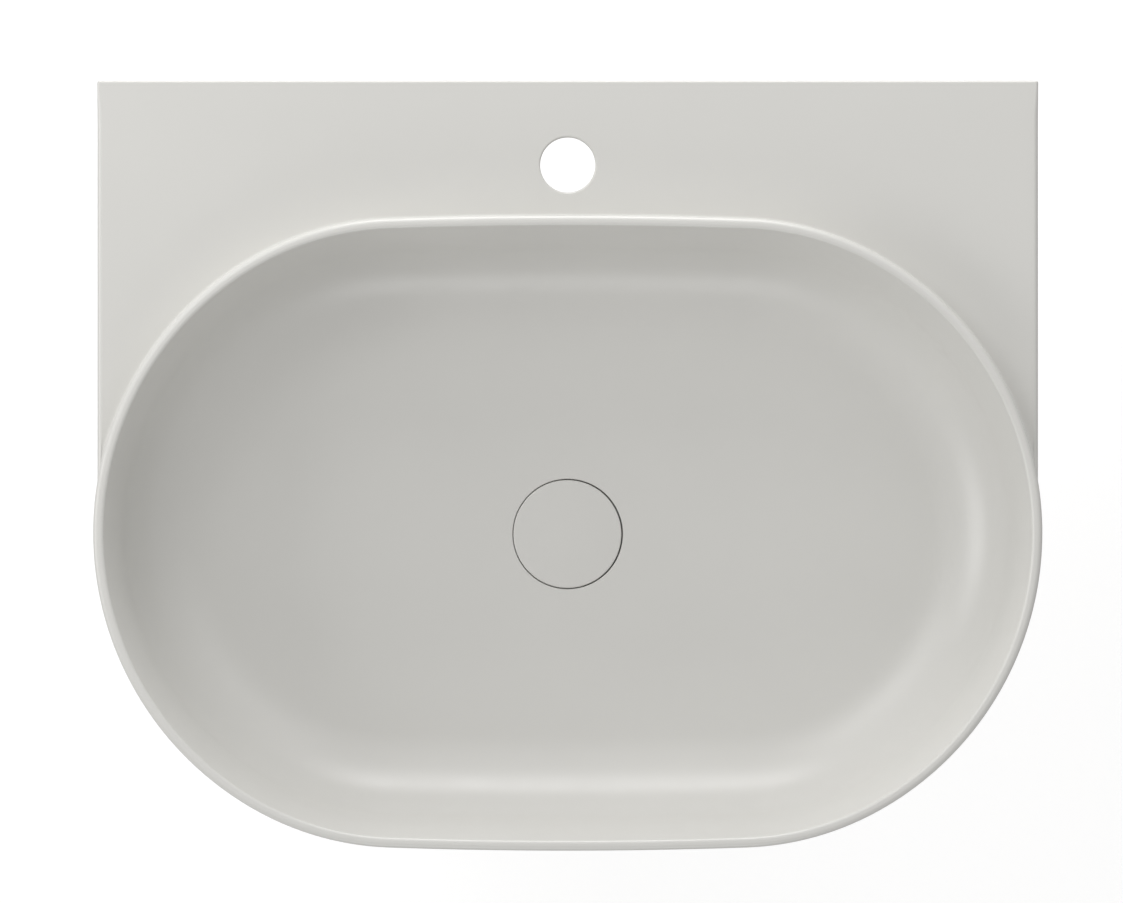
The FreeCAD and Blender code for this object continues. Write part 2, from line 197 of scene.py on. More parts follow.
# How finely the turned pieces are drawn, and how meshes are cleaned and shaded
ring_segments = 96
cap_crown_rows = 12
flange_round_rows = 5
gasket_round_rows = 5
rib_rows = 8
fine_round_rows = 4
nut_arc_rows = 12
merge_distance = 0.003
length_tolerance = 1e-9
sharp_angle = 40.0

# Camera: where the photograph's middle lies, and how much of the object's plane the picture's width covers
view_centre_x = -3.95
view_centre_y = -234.9
view_width = 709.6
camera_distance = 12000.0
sensor_width = 36.0
clip_near = 1000.0
clip_far = 100000.0

# Stage
floor_size = 14000.0
floor_drop = 450.0
floor_cloud_scale = 2.0
floor_cloud_share = 0.01
floor_roughness = 0.9
floor_specular = 0.1

# Colours, linear
glaze_colour = (0.605, 0.598, 0.572)
bisque_colour = (0.50, 0.475, 0.43)
brass_colour = (0.66, 0.46, 0.20)
cast_brass_colour = (0.58, 0.41, 0.20)
chrome_colour = (0.50, 0.51, 0.52)
steel_colour = (0.50, 0.50, 0.49)
rubber_colour = (0.018, 0.018, 0.019)
sleeve_colour = (0.72, 0.71, 0.67)
acetal_colour = (0.78, 0.77, 0.73)
washer_colour = (0.80, 0.80, 0.79)
floor_colour = (0.62, 0.62, 0.62)

# Surfaces: scales are per metre, depths in metres, and a cloud size is a multiple of the grain's
noise_low = 0.3
noise_high = 0.7
cloud_detail = 3.0
grain_detail = 4.0
mark_detail = 5.0
peel_detail = 2.0
metal_cloud_size = 6
soft_cloud_size = 8
grain_depth = 0.0002
glaze_cloud_scale = 9.0
glaze_cloud_low = 0.35
glaze_cloud_high = 0.65
glaze_cloud_share = 0.008
glaze_sheen_scale = 60.0
glaze_rough_low = 0.32
glaze_rough_high = 0.37
glaze_peel_scale = 260.0
glaze_peel_strength = 0.05
glaze_peel_depth = 0.00025
glaze_edge_scale = 180.0
glaze_edge_spread = 0.18
glaze_edge_low = 0.42
glaze_edge_high = 0.58
bisque_stain_scale = 26.0
bisque_darker_share = 0.07
bisque_lighter_share = 0.05
bisque_grain_scale = 1500.0
bisque_grain_strength = 0.35
bisque_extra_roughness = 0.5
metal_darker_share = 0.08
metal_lighter_share = 0.06
metal_mark_strength = 0.12
soft_tone_share = 0.06

# Metals: lowest and highest roughness, and the scale of the marks
brass_finish = (0.22, 0.34, 900.0)
cast_brass_finish = (0.38, 0.55, 500.0)
chrome_finish = (0.12, 0.18, 400.0)
steel_finish = (0.24, 0.36, 1200.0)

# Rubber and plastics: the same, and the strength of the grain
rubber_finish = (0.55, 0.70, 900.0, 0.2)
moulded_finish = (0.40, 0.50, 600.0, 0.1)
acetal_finish = (0.30, 0.38, 600.0, 0.06)

# Lights: each lamp's direction about the bowl and above the horizon in degrees, and its power
world_strength = 0.517
lamp_distance = 2600.0
lamp_size = 1200.0
lamps = {
    "back_lowest": (90, 8, 27.0),
    "back_low": (90, 22, 15.0),
    "left_low": (180, 22, 19.2),
    "front_low": (270, 22, 11.3),
    "back_left_high": (135, 54, 12.2),
    "back_right_high": (45, 54, 4.5),
}
floor_glow = 0.45


def smooth_share(share):
    """0 to 1 with a level start and end."""
    share = min(1.0, max(0.0, share))
    return share * share * (3 - 2 * share)


def steps(low, high, count):
    """count + 1 even values from low to high."""
    return [low + (high - low) * index / count for index in range(count + 1)]


def tangent_arcs():
    """Centre, radius and angles of the three arcs of a quarter, about the middle of the bowl."""
    first = math.radians(end_arc_angle)
    second = math.radians(shoulder_arc_angle)
    end_x = half_length - end_arc_radius
    shoulder_x = end_x + (end_arc_radius - shoulder_arc_radius) * math.cos(first)
    shoulder_y = (end_arc_radius - shoulder_arc_radius) * math.sin(first)
    side_radius = shoulder_arc_radius + shoulder_x / math.cos(second)
    side_y = shoulder_y - shoulder_x * math.tan(second)
    return [
        (end_x, 0.0, end_arc_radius, 0.0, end_arc_angle),
        (shoulder_x, shoulder_y, shoulder_arc_radius, end_arc_angle, shoulder_arc_angle),
        (0.0, side_y, side_radius, shoulder_arc_angle, middle_line_angle),
    ]


half_length = cad_high.x / mm
rim_z = cad_high.z / mm
foot_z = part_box("basin")[0].z / mm
ledge_z = rim_z - rim_above_ledge
floor_z = rim_z - bowl_depth
front_y = cad_low.y / mm
half_depth = tangent_arcs()[-1][1] + tangent_arcs()[-1][2]
bowl_y = front_y + half_depth
waste_y = bowl_y - waste_ahead_of_middle
waste_seat_z = floor_z - waste_seat_depth
boss_z = foot_z + boss_above_foot
front_hollow_z = rim_z - front_hollow_depth
ceiling_z = ledge_z - ledge_thickness
cap_low_z, cap_high_z = (corner.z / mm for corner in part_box("waste_cap"))
flange_z = waste_seat_z + gasket_thickness
flange_top_z = flange_z + flange_thickness
throat_z = flange_top_z - throat_depth
tail_z = foot_z - tail_below_foot
washer_high_z = boss_z - cone_gasket_height
nut_high_z = washer_high_z - washer_thickness
draft_slope = math.tan(math.radians(apron_draft))
bowl_slope = math.tan(math.radians(bowl_draft))


def apron_inset(z):
    """How far the outside lies within the rim outline at a height."""
    lip_loss = rim_outer_round * (draft_slope + 1 / math.cos(math.radians(apron_draft)) - 1)
    return (rim_z - z) * draft_slope - lip_loss


def bowl_inset(z):
    """How far the bowl's straight wall lies within the rim outline at a height."""
    return rim_width + (rim_z - z) * bowl_slope


def dish_z(point, wall):
    """Height of the dished floor, or with a wall of its underside, below a point."""
    away = math.hypot(point.x, point.y - waste_y)
    return floor_z - wall + away * away / 2 / (floor_dish_radius + wall)


class Column:
    """One section through the ceramic, at a place on the rim outline."""

    def __init__(self, arc, angle, side, front):
        self.centre_x, self.centre_y, self.radius = arc[:3]
        self.angle = angle
        self.side = side
        self.front = front
        turn = math.radians(angle)
        self.out = Vector((side * math.cos(turn), front * math.sin(turn), 0))

    def at(self, inset, z):
        """The point that lies inside the rim outline by the inset."""
        reach = self.radius - inset
        middle = Vector((self.side * self.centre_x, bowl_y + self.front * self.centre_y, z))
        return middle + self.out * reach

    def about_waste(self, radius, z):
        """The column's point on a circle about the waste."""
        return Vector((0, waste_y, z)) + self.to_waste_ring() * radius

    def to_waste_ring(self):
        """Which way the column's floor runs, seen from the waste."""
        away = self.at(bowl_corner_radius + rim_width, 0) - Vector((0, waste_y, 0))
        return away.normalized()

    def wall_place(self):
        """Where the column's ledge ends on the block: along its side, round its corner, or along its back."""
        corner_y = -ledge_back_round
        place = self.at(apron_inset(ledge_z), ledge_z)
        if self.angle <= ledge_corner_angle - corner_column_span:
            cusp = math.degrees(math.acos(1 - ledge_side_inset / end_arc_radius))
            share = max(0.0, self.angle - cusp) / (ledge_corner_angle - corner_column_span - cusp)
            y = place.y + (corner_y - place.y) * share ** side_fan_power
            return "side", (y - bowl_y) / (corner_y - bowl_y)
        if self.angle < ledge_corner_angle + corner_column_span:
            return "corner", (self.angle - ledge_corner_angle) / corner_column_span / 2 + 0.5
        end_of_arc = half_length - end_arc_radius * (1 - math.cos(math.radians(end_arc_angle)))
        if self.angle < end_arc_angle:
            share = self.angle - ledge_corner_angle - corner_column_span
            share /= end_arc_angle - ledge_corner_angle - corner_column_span
            x = half_length + (end_of_arc - half_length) * share
            return "back", x / half_length
        return "back", abs(place.x) / half_length

    def block_point(self, half, back_y, corner_round, z):
        """The column's point on a rectangle against the wall, and the way out of it there."""
        kind, share = self.wall_place()
        if kind == "side":
            y = bowl_y + share * (back_y - corner_round - bowl_y)
            return Vector((self.side * half, y, z)), Vector((self.side, 0, 0))
        if kind == "corner":
            turn = share * math.pi / 2
            out = Vector((self.side * math.cos(turn), math.sin(turn), 0))
            middle = Vector((self.side * (half - corner_round), back_y - corner_round, z))
            return middle + out * corner_round, out
        return Vector((self.side * share * (half - corner_round), back_y, z)), Vector((0, 1, 0))

    def block_wall(self, z):
        """The outside below the ledge: the block's, or the oval's where that stands proud of it."""
        place, out = self.block_point(half_length - apron_inset(z) - ledge_side_inset, 0, ledge_back_round, z)
        own = self.at(apron_inset(z), z)
        if self.wall_place()[0] == "side" and abs(own.x) > abs(place.x):
            return own, self.out
        return place, out

    def near_back(self):
        """1 at the corner and along the back, and 0 along a side up to the last of its blend parts."""
        kind, share = self.wall_place()
        if kind != "side":
            return 1.0
        return smooth_share(share * side_blend_parts - (side_blend_parts - 1))


def arc_points(middle, first_way, second_way, first_radius, second_radius, start, end, count):
    """Points of an arc, or of an ellipse where the radii differ, in the plane of two directions."""
    points = []
    for angle in steps(start, end, count):
        turn = math.radians(angle)
        across = first_way * first_radius * math.cos(turn)
        points.append(middle + across + second_way * second_radius * math.sin(turn))
    return points


def line_points(start, end, count):
    """Points after the start, up to the end."""
    return [start.lerp(end, index / count) for index in range(1, count + 1)]


up = Vector((0, 0, 1))


def waste_recess(column):
    """From the foot of the waste hole, over its seat, to the rounded mouth of the recess."""
    points = line_points(column.about_waste(waste_hole_radius, boss_z),
                         column.about_waste(waste_hole_radius, waste_seat_z), recess_hole_rows)
    seat = column.about_waste(waste_seat_radius, waste_seat_z)
    points += line_points(points[-1], seat, recess_floor_rows)
    ring = column.about_waste(waste_seat_radius + waste_seat_round, 0)
    middle = ring + up * (dish_z(ring, 0) - waste_seat_round)
    inward = -column.to_waste_ring()
    mouth = arc_points(middle, inward, up, waste_seat_round, waste_seat_round, 0, 90, small_round_rows)
    return points + line_points(points[-1], mouth[0], recess_wall_rows)[:-1] + mouth


def bowl_corner(column, wall, radius):
    """The arc between the floor and the wall, from the floor up; with a wall, outside the shell."""
    spread = 1 / math.cos(math.radians(bowl_draft))
    middle_z = floor_z + radius
    for _ in range(bowl_corner_tries):
        inset = bowl_inset(middle_z) - wall * spread + radius * spread
        middle = column.at(inset, middle_z)
        slope = column.out.dot(middle - Vector((0, waste_y, middle_z))) / (floor_dish_radius + wall)
        middle_z = dish_z(middle, wall) + radius * math.hypot(1, slope)
    middle.z = middle_z
    low_angle = math.degrees(math.atan(slope)) - 90
    return arc_points(middle, column.out, up, radius, radius, low_angle, -bowl_draft, bowl_corner_rows)


def bowl_inside(column):
    """Floor, corner and wall of the bowl, from the recess to the lip."""
    mouth = column.about_waste(waste_seat_radius + waste_seat_round, 0)
    corner = bowl_corner(column, 0, bowl_corner_radius)
    floor = []
    for point in line_points(mouth, Vector((corner[0].x, corner[0].y, 0)), floor_rows)[:-1]:
        floor.append(Vector((point.x, point.y, dish_z(point, 0))))
    round_z = rim_z - rim_inner_round
    round_inset = bowl_inset(round_z) - rim_inner_round / math.cos(math.radians(bowl_draft))
    middle = column.at(round_inset, round_z)
    inner_round = arc_points(middle, -column.out, up, rim_inner_round, rim_inner_round,
                             bowl_draft, 90, small_round_rows)
    return floor + corner + line_points(corner[-1], inner_round[0], bowl_wall_rows)[:-1] + inner_round


def lip_outside(column):
    """The flat and the outer round of the lip."""
    middle = column.at(rim_outer_round, rim_z - rim_outer_round)
    return arc_points(middle, column.out, up, rim_outer_round, rim_outer_round, 90, -apron_draft, lip_rows)


def follow_draft(points, out, z, round_share):
    """Leans the points of a flattened round with the drafted wall that it lies in."""
    for point in points:
        point += out * (point.z - z) * draft_slope * (1 - round_share)


def ledge_room(column, wall_base, edge_wall):
    """Width of the ledge square to the bowl's wall, and square to the block's side."""
    width = (edge_wall - wall_base).length
    if column.wall_place()[0] != "side":
        return width, width
    half = abs(edge_wall.x)
    from_wall = (half - abs(wall_base.x)) / math.cos(math.radians(column.angle))
    reach = column.radius - apron_inset(ledge_z)
    along_side = min(edge_wall.y - bowl_y, reach)
    from_side = half - column.centre_x - math.sqrt(reach * reach - along_side * along_side)
    return min(width, from_wall), min(width, from_side)


def ledge_rows(column):
    """Outer wall of the bowl, cove, ledge and its rounded edge; on the front half a straight wall."""
    tilt = 1 / math.cos(math.radians(apron_draft))
    wall_base = column.at(apron_inset(ledge_z), ledge_z)
    if column.front < 0:
        from_wall, from_side = 0.0, 0.0
        edge_wall, edge_out = wall_base, column.out
        draft = apron_draft
    else:
        edge_wall, edge_out = column.block_wall(ledge_z)
        from_wall, from_side = ledge_room(column, wall_base, edge_wall)
        draft = apron_draft * (1 - column.near_back())
    cove_across = min(cove_radius, from_wall * rounds_share)
    cove_z = ledge_z + cove_radius
    middle = column.at(apron_inset(cove_z), cove_z) + column.out * cove_across * tilt
    cove = arc_points(middle, column.out, up, cove_across, cove_radius, 180 - apron_draft, 270,
                      small_round_rows)
    follow_draft(cove, column.out, cove_z, cove_across / cove_radius)
    edge_radius = ledge_side_round + (ledge_back_round - ledge_side_round) * column.near_back()
    edge_across = min(edge_radius, from_side * rounds_share)
    edge_z = ledge_z - edge_radius
    if column.front < 0:
        side_wall = column.at(apron_inset(edge_z), edge_z)
    else:
        side_wall = column.block_wall(edge_z)[0]
    middle = side_wall - edge_out * edge_across / math.cos(math.radians(draft))
    edge = arc_points(middle, edge_out, up, edge_across, edge_radius, 90, -draft, small_round_rows)
    follow_draft(edge, edge_out, edge_z, edge_across / edge_radius)
    return cove + line_points(cove[-1], edge[0], ledge_flat_rows)[:-1] + edge


def lower_wall(column):
    """The round between the outside wall and the foot."""
    if column.front < 0:
        radius, draft = foot_round, apron_draft
        foot_wall = column.at(apron_inset(foot_z + radius), foot_z + radius)
        out = column.out
    else:
        radius = foot_round + (ledge_back_round - foot_round) * column.near_back()
        draft = apron_draft * (1 - column.near_back())
        foot_wall, out = column.block_wall(foot_z + radius)
    middle = foot_wall - out * radius / math.cos(math.radians(draft))
    return arc_points(middle, out, up, radius, radius, -draft, -90, foot_round_rows)


def hollow_wall(column, z):
    """The inside of the apron at a height, and the way out of the hollow there."""
    inset = apron_inset(z) + apron_wall
    if column.front < 0:
        return column.at(inset, z), column.out
    return column.block_point(half_length - inset, -back_wall, hollow_corner_round, z)


def underside(column):
    """From the foot's face, up into the hollow, over the shell of the bowl and down the waste boss."""
    edge_z = foot_z + hollow_edge_round
    wall, out = hollow_wall(column, edge_z)
    middle = wall + out * hollow_edge_round
    rows = arc_points(middle, -out, up, hollow_edge_round, hollow_edge_round, -90, 0, hollow_edge_rows)
    for z in steps(edge_z, front_hollow_z, apron_rows)[1:]:
        rows.append(hollow_wall(column, z)[0])
    shell = bowl_corner(column, bowl_wall, bowl_corner_radius + bowl_wall)
    shell.reverse()
    low_shell = [point for point in shell if point.z < front_hollow_z]
    high_shell = [point for point in shell if point.z >= front_hollow_z]
    step = (front_hollow_z - low_shell[0].z) / (high_shell[-1].z - low_shell[0].z)
    meeting = low_shell[0].lerp(high_shell[-1], step)
    if column.front < 0:
        rows += line_points(rows[-1], meeting, back_hollow_rows + ceiling_rows + shell_top_rows)
    else:
        for z in steps(front_hollow_z, ceiling_z, back_hollow_rows)[1:]:
            rows.append(hollow_wall(column, z)[0])
        spread = bowl_wall / math.cos(math.radians(bowl_draft))
        shell_top = column.at(bowl_inset(ceiling_z) - spread, ceiling_z)
        rows += line_points(rows[-1], shell_top, ceiling_rows)
        path = [rows[-1]] + high_shell + [meeting]
        rows += along(path, shell_top_rows)
    rows += along([meeting] + low_shell, shell_rows)
    return rows + boss_rows(column, rows[-1])


def along(path, count):
    """count points that follow a line of points, evenly, up to its end."""
    lengths = [0.0]
    for first, second in zip(path, path[1:]):
        lengths.append(lengths[-1] + (second - first).length)
    points = []
    for index in range(1, count + 1):
        reach = lengths[-1] * index / count
        place = next(k for k in range(1, len(path)) if lengths[k] >= reach - length_tolerance)
        share = (reach - lengths[place - 1]) / (lengths[place] - lengths[place - 1])
        points.append(path[place - 1].lerp(path[place], share))
    return points


def boss_rows(column, start):
    """The underside of the floor, the boss's rounded root, its wall, its edge and its face."""
    slope = math.tan(math.radians(boss_draft))
    tilt = 1 / math.cos(math.radians(boss_draft))
    root = boss_radius + boss_root_round
    root_z = dish_z(column.about_waste(root, 0), bowl_wall) - boss_root_round
    root_reach = boss_radius - (floor_z - root_z) * slope + boss_root_round * tilt
    way = column.to_waste_ring()
    root_middle = column.about_waste(root_reach, root_z)
    root_arc = arc_points(root_middle, -way, up, boss_root_round, boss_root_round,
                          90, boss_draft, boss_root_rows)
    rows = []
    for point in line_points(start, root_arc[0], boss_floor_rows)[:-1]:
        rows.append(Vector((point.x, point.y, dish_z(point, bowl_wall))))
    edge_z = boss_z + boss_edge_round
    edge_reach = boss_radius - (floor_z - edge_z) * slope - boss_edge_round * tilt
    edge_middle = column.about_waste(edge_reach, edge_z)
    edge = arc_points(edge_middle, way, up, boss_edge_round, boss_edge_round,
                      -boss_draft, -90, boss_edge_rows)
    rows += root_arc + line_points(root_arc[-1], edge[0], boss_wall_rows)[:-1] + edge
    hole = column.about_waste(waste_hole_radius, boss_z)
    return rows + line_points(edge[-1], hole, boss_face_rows)


def column_angles():
    """Angles of one quarter's columns with their arcs, from the end of the bowl to its middle line."""
    counts = (end_arc_columns, shoulder_arc_columns, side_arc_columns)
    places = []
    for arc, count in zip(tangent_arcs(), counts):
        for angle in steps(arc[3], arc[4], count)[:-1]:
            places.append((arc, angle))
    corner = (ledge_corner_angle - corner_column_span, ledge_corner_angle + corner_column_span)
    places = [place for place in places if not corner[0] < place[1] < corner[1]]
    for angle in steps(corner[0], corner[1], corner_columns):
        places.append((tangent_arcs()[0], angle))
    places.append((tangent_arcs()[-1], middle_line_angle))
    return sorted(places, key=lambda place: place[1])


def all_columns():
    """Columns round the bowl: left end, front, right end, right end again with the ledge, back, left end."""
    columns = []
    for front, sides in ((-1, (-1, 1)), (1, (1, -1))):
        first = [Column(arc, angle, sides[0], front) for arc, angle in column_angles()]
        second = [Column(arc, angle, sides[1], front) for arc, angle in column_angles()[:-1]]
        columns += first + second[::-1]
    return columns


def section(column):
    """All points of one section, once round the ceramic, and how bare of glaze each of them is."""
    glazed = waste_recess(column) + bowl_inside(column) + lip_outside(column)
    ledge = ledge_rows(column)
    glazed += line_points(glazed[-1], ledge[0], rim_outside_rows)[:-1] + ledge
    foot = lower_wall(column)
    wall = line_points(glazed[-1], foot[0], wall_rows)[:-1] + foot
    hidden = underside(column)
    on_wall = float(column.front > 0 and column.wall_place()[0] == "back")
    shares = [0.0] * len(glazed) + [on_wall] * len(wall) + [1.0] * len(hidden)
    return glazed + wall + hidden, shares


def new_object(name, data):
    """An object in the scene with the given data."""
    piece = bpy.data.objects.new(name, data)
    bpy.context.scene.collection.objects.link(piece)
    return piece


def ring_faces(count, closed):
    """Faces between neighbouring profiles of count points, all round; a closed profile joins its ends."""
    faces = []
    for index in range(ring_segments):
        following = (index + 1) % ring_segments
        for row in range(count if closed else count - 1):
            higher = (row + 1) % count
            faces.append((index * count + row, following * count + row,
                          following * count + higher, index * count + higher))
    return faces


def looped(name, loops):
    """A closed body from loops of points, each joined to the next and the last to the first."""
    mesh = bmesh.new()
    grid = [[mesh.verts.new(point * mm) for point in loop] for loop in loops]
    count = len(grid[0])
    for index, loop in enumerate(grid):
        following = grid[(index + 1) % len(grid)]
        for row in range(count):
            higher = (row + 1) % count
            mesh.faces.new((loop[row], following[row], following[higher], loop[higher]))
    bmesh.ops.remove_doubles(mesh, verts=mesh.verts, dist=merge_distance * mm)
    bmesh.ops.dissolve_degenerate(mesh, edges=mesh.edges, dist=merge_distance * mm)
    bmesh.ops.recalc_face_normals(mesh, faces=mesh.faces)
    data = bpy.data.meshes.new(name)
    mesh.to_mesh(data)
    mesh.free()
    return new_object(name, data)


def turned(name, profile, middle, axis, hollow=False):
    """A body turned about an axis: profile is (radius, height); a hollow one's closes on itself."""
    way = axis.to_track_quat("Z", "Y")
    points = []
    count = len(profile)
    for index in range(ring_segments):
        turn = 2 * math.pi * index / ring_segments
        for radius, height in profile:
            own = Vector((radius * math.cos(turn), radius * math.sin(turn), height))
            points.append((middle + way @ own) * mm)
    faces = ring_faces(count, hollow)
    if not hollow:
        faces.append([index * count for index in reversed(range(ring_segments))])
        faces.append([index * count + count - 1 for index in range(ring_segments)])
    data = bpy.data.meshes.new(name)
    data.from_pydata(points, [], faces)
    return new_object(name, data)


def cut_holes(piece):
    """The tap hole with its rounded mouth, and the two wall holes."""
    beyond = 4.0
    stop_angle = 72.0
    profile = [(tap_hole_radius, ceiling_z - ledge_z - beyond)]
    for angle in steps(0, stop_angle, small_round_rows):
        turn = math.radians(angle)
        profile.append((tap_hole_radius + tap_hole_round * (1 - math.cos(turn)),
                        tap_hole_round * (math.sin(turn) - 1)))
    turn = math.radians(stop_angle)
    last = profile[-1]
    profile.append((last[0] + beyond * math.sin(turn), last[1] + beyond * math.cos(turn)))
    cutters = [turned("tap_cutter", profile, Vector((0, -tap_hole_from_wall, ledge_z)), up)]
    for side in (-1, 1):
        middle = Vector((side * wall_hole_spacing / 2, 0, 0))
        rod = [(wall_hole_radius, -back_wall - beyond), (wall_hole_radius, beyond)]
        cutters.append(turned("wall_cutter", rod, middle, Vector((0, 1, 0))))
    for tool in cutters:
        change = piece.modifiers.new("hole", "BOOLEAN")
        change.operation = "DIFFERENCE"
        change.solver = "EXACT"
        change.object = tool
    bpy.context.view_layer.update()
    evaluated = piece.evaluated_get(bpy.context.evaluated_depsgraph_get())
    holed = bpy.data.meshes.new_from_object(evaluated)
    piece.modifiers.clear()
    old = piece.data
    piece.data = holed
    bpy.data.meshes.remove(old)
    for tool in cutters:
        data = tool.data
        bpy.data.objects.remove(tool)
        bpy.data.meshes.remove(data)


def mark_bare(piece, columns):
    """Keeps on every vertex how bare of glaze the nearest point of the sections is."""
    known = [(point, share) for points, shares in columns for point, share in zip(points, shares)]
    tree = kdtree.KDTree(len(known))
    for index, (point, _) in enumerate(known):
        tree.insert(point * mm, index)
    tree.balance()
    layer = piece.data.attributes.new("bare", "FLOAT", "POINT")
    for vertex in piece.data.vertices:
        layer.data[vertex.index].value = known[tree.find(vertex.co)[1]][1]


def finish_piece(piece, material, body, node):
    """Even normals, smooth shading with crisp edges, the material, and what the piece stands for."""
    mesh = bmesh.new()
    mesh.from_mesh(piece.data)
    bmesh.ops.recalc_face_normals(mesh, faces=mesh.faces)
    mesh.to_mesh(piece.data)
    mesh.free()
    piece.data.shade_smooth()
    piece.data.set_sharp_from_angle(angle=math.radians(sharp_angle))
    shading = piece.modifiers.new("even_shading", "WEIGHTED_NORMAL")
    shading.keep_sharp = True
    piece.data.materials.append(material)
    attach(piece, body)
    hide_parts(node)


def make_basin(material):
    """The ceramic in one closed mesh, from sections all round the bowl."""
    columns = [section(column) for column in all_columns()]
    piece = looped("ceramic_basin", [points for points, _ in columns])
    cut_holes(piece)
    mark_bare(piece, columns)
    finish_piece(piece, material, "fixed_parts", "basin")


def flat_arc(middle, radius, start, end, count):
    """Points (radius, height) of an arc in a turned body's profile."""
    points = []
    for angle in steps(start, end, count):
        turn = math.radians(angle)
        points.append((middle[0] + radius * math.cos(turn), middle[1] + radius * math.sin(turn)))
    return points


def make_cap(material):
    """The crowned ceramic cap; it sits a little off the middle of its recess, as a loose cap does."""
    edge_z = cap_high_z - cap_crown
    reach = cap_radius - cap_edge_round
    profile = []
    for radius in steps(reach / cap_crown_rows, reach, cap_crown_rows - 1):
        profile.append((radius, cap_high_z - cap_crown * (radius / reach) ** 2))
    profile += flat_arc((reach, edge_z - cap_edge_round), cap_edge_round, 90, 0, small_round_rows)[1:]
    profile += [(cap_radius, cap_low_z + cap_lower_bevel), (cap_radius - cap_lower_bevel, cap_low_z)]
    piece = turned("ceramic_cap", profile[::-1], Vector((-cap_off_middle, waste_y, 0)), up)
    finish_piece(piece, material, "lifting_cap", "waste_cap")


def threaded(low_z, high_z):
    """Heights and thread shares of a thread's rows: full in between, running out at both ends."""
    count = round((high_z - low_z) / thread_step)
    rows = []
    for z in steps(low_z, high_z, count):
        rows.append((z, smooth_share(min(z - low_z, high_z - z) / thread_run_out)))
    return rows


def make_tail(material):
    """Flange, seat cone, throat and tail, with a helical thread cut in the tail."""
    groove_z = tail_z + flange_edge_round + tail_free_length
    groove_radius = tail_radius - thread_depth
    shelf_z = throat_z - spider_ring_height
    inside = [(tail_radius - tail_edge_bevel, tail_z, 0), (tail_bore_radius, tail_z, 0),
              (tail_bore_radius, shelf_z, 0), (throat_radius, shelf_z, 0),
              (throat_radius, throat_z, 0), (seat_radius, flange_top_z, 0)]
    edge_middle = (flange_radius - flange_edge_round, flange_top_z - flange_edge_round)
    edge_arc = flat_arc(edge_middle, flange_edge_round, 90, 0, flange_round_rows)
    edge = [(radius, z, 0) for radius, z in edge_arc]
    neck_z = flange_z - neck_length
    outside = [(flange_radius, flange_z, 0), (neck_radius, flange_z, 0),
               (neck_radius, neck_z, 0), (tail_radius, neck_z, 0)]
    upper = [(tail_radius, z, share) for z, share in threaded(groove_z + tail_groove_width, neck_z)]
    groove = [(groove_radius, groove_z + tail_groove_width, 0), (groove_radius, groove_z, 0)]
    lower = [(tail_radius, z, share) for z, share in threaded(tail_z + tail_edge_bevel, groove_z)]
    profile = inside + edge + outside + upper[::-1] + groove + lower[::-1]
    points = []
    for index in range(ring_segments):
        turn = 2 * math.pi * index / ring_segments
        for radius, z, share in profile:
            phase = z / thread_pitch - index / ring_segments
            deep = thread_depth * share * (1 - abs(2 * (phase % 1) - 1))
            x = (radius - deep) * math.cos(turn)
            y = waste_y + (radius - deep) * math.sin(turn)
            points.append(Vector((x, y, z)) * mm)
    data = bpy.data.meshes.new("threaded_tail")
    data.from_pydata(points, [], ring_faces(len(profile), True))
    piece = new_object("threaded_tail", data)
    finish_piece(piece, material, "fixed_parts", "waste_body")


def make_gasket(material):
    """The stepped cone of rubber, with moulded ribs round it."""
    inner = tail_radius + fit_clearance
    neck = waste_hole_radius - fit_clearance
    low_z = boss_z - cone_gasket_height
    top = (cone_gasket_top_radius - gasket_round, boss_z - gasket_round)
    bottom = (cone_gasket_bottom_radius - gasket_round, low_z + gasket_round)
    lean = math.degrees(math.atan2(cone_gasket_bottom_radius - cone_gasket_top_radius, cone_gasket_height))
    neck_z = boss_z + cone_gasket_neck
    profile = [(inner, low_z), (inner, neck_z), (neck, neck_z), (neck, boss_z)]
    profile += flat_arc(top, gasket_round, 90, lean, gasket_round_rows)
    high_radius, high_z = profile[-1]
    low = flat_arc(bottom, gasket_round, lean, -90, gasket_round_rows)
    low_radius, start_z = low[0]
    rows = gasket_rib_count * rib_rows
    for index in range(1, rows):
        share = index / rows
        rib = gasket_rib_height * (1 - math.cos(2 * math.pi * gasket_rib_count * share)) / 2
        radius = high_radius + (low_radius - high_radius) * share - rib
        profile.append((radius, high_z + (start_z - high_z) * share))
    piece = turned("ribbed_gasket", profile + low, Vector((0, waste_y, 0)), up, hollow=True)
    finish_piece(piece, material, "fixed_parts", "cone_gasket")


def make_washer(material):
    """The thin slippery ring between gasket and nut, with softened edges."""
    low_z = washer_high_z - washer_thickness
    reach = washer_radius - washer_round
    profile = [(tail_radius + fit_clearance, low_z), (tail_radius + fit_clearance, washer_high_z)]
    profile += flat_arc((reach, washer_high_z - washer_round), washer_round, 90, 0, fine_round_rows)
    profile += flat_arc((reach, low_z + washer_round), washer_round, 0, -90, fine_round_rows)
    piece = turned("slip_washer", profile, Vector((0, waste_y, 0)), up, hollow=True)
    finish_piece(piece, material, "fixed_parts", "friction_washer")


